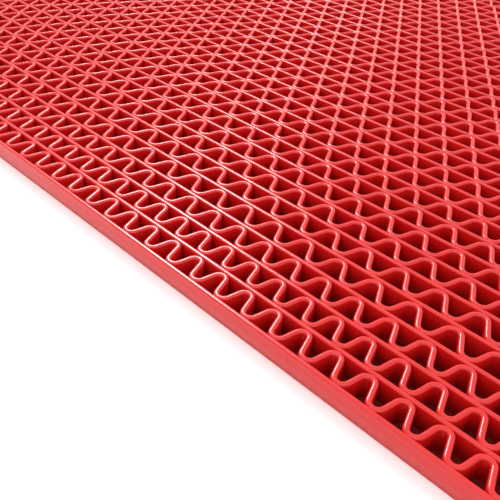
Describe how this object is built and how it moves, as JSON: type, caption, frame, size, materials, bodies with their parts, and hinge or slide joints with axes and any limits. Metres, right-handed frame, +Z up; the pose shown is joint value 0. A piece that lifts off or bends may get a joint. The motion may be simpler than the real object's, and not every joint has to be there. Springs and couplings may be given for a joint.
{
  "type": "drainage floor mat",
  "caption": "Flexible open-grid anti-fatigue floor mat of thin upright strips, straight and wavy by turns, with open cells that let water and grit fall through.",
  "frame": {"origin": "middle of the mat's underside, on the floor", "axes": "+X along the straight strips, +Y from the front edge strip to the back one, +Z up out of the tread"},
  "size_m": [0.6, 0.3978, 0.0082],
  "materials": {
    "soft_pvc": "glossy soft PVC, extruded"
  },
  "bodies": {
    "root": {"edge_strip_front": "soft_pvc", "edge_strip_back": "soft_pvc", "straight_strips_01": "soft_pvc", "straight_strips_02": "soft_pvc", "straight_strips_03": "soft_pvc", "straight_strips_04": "soft_pvc", "straight_strips_05": "soft_pvc", "straight_strips_06": "soft_pvc", "straight_strips_07": "soft_pvc", "straight_strips_08": "soft_pvc", "straight_strips_09": "soft_pvc", "straight_strips_10": "soft_pvc", "straight_strips_11": "soft_pvc", "straight_strips_12": "soft_pvc", "straight_strips_13": "soft_pvc", "straight_strips_14": "soft_pvc", "straight_strips_15": "soft_pvc", "straight_strips_16": "soft_pvc", "wave_strip_01": "soft_pvc", "wave_strip_02": "soft_pvc", "wave_strip_03": "soft_pvc", "wave_strip_04": "soft_pvc", "wave_strip_05": "soft_pvc", "wave_strip_06": "soft_pvc", "wave_strip_07": "soft_pvc", "wave_strip_08": "soft_pvc", "wave_strip_09": "soft_pvc", "wave_strip_10": "soft_pvc", "wave_strip_11": "soft_pvc", "wave_strip_12": "soft_pvc", "wave_strip_13": "soft_pvc", "wave_strip_14": "soft_pvc", "wave_strip_15": "soft_pvc", "wave_strip_16": "soft_pvc", "wave_strip_17": "soft_pvc", "wave_strip_18": "soft_pvc", "wave_strip_19": "soft_pvc", "wave_strip_20": "soft_pvc", "wave_strip_21": "soft_pvc", "wave_strip_22": "soft_pvc", "wave_strip_23": "soft_pvc", "wave_strip_24": "soft_pvc", "wave_strip_25": "soft_pvc", "wave_strip_26": "soft_pvc", "wave_strip_27": "soft_pvc", "wave_strip_28": "soft_pvc", "wave_strip_29": "soft_pvc", "wave_strip_30": "soft_pvc", "wave_strip_31": "soft_pvc", "wave_strip_32": "soft_pvc", "wave_strip_33": "soft_pvc"}
  },
  "joints": []
}
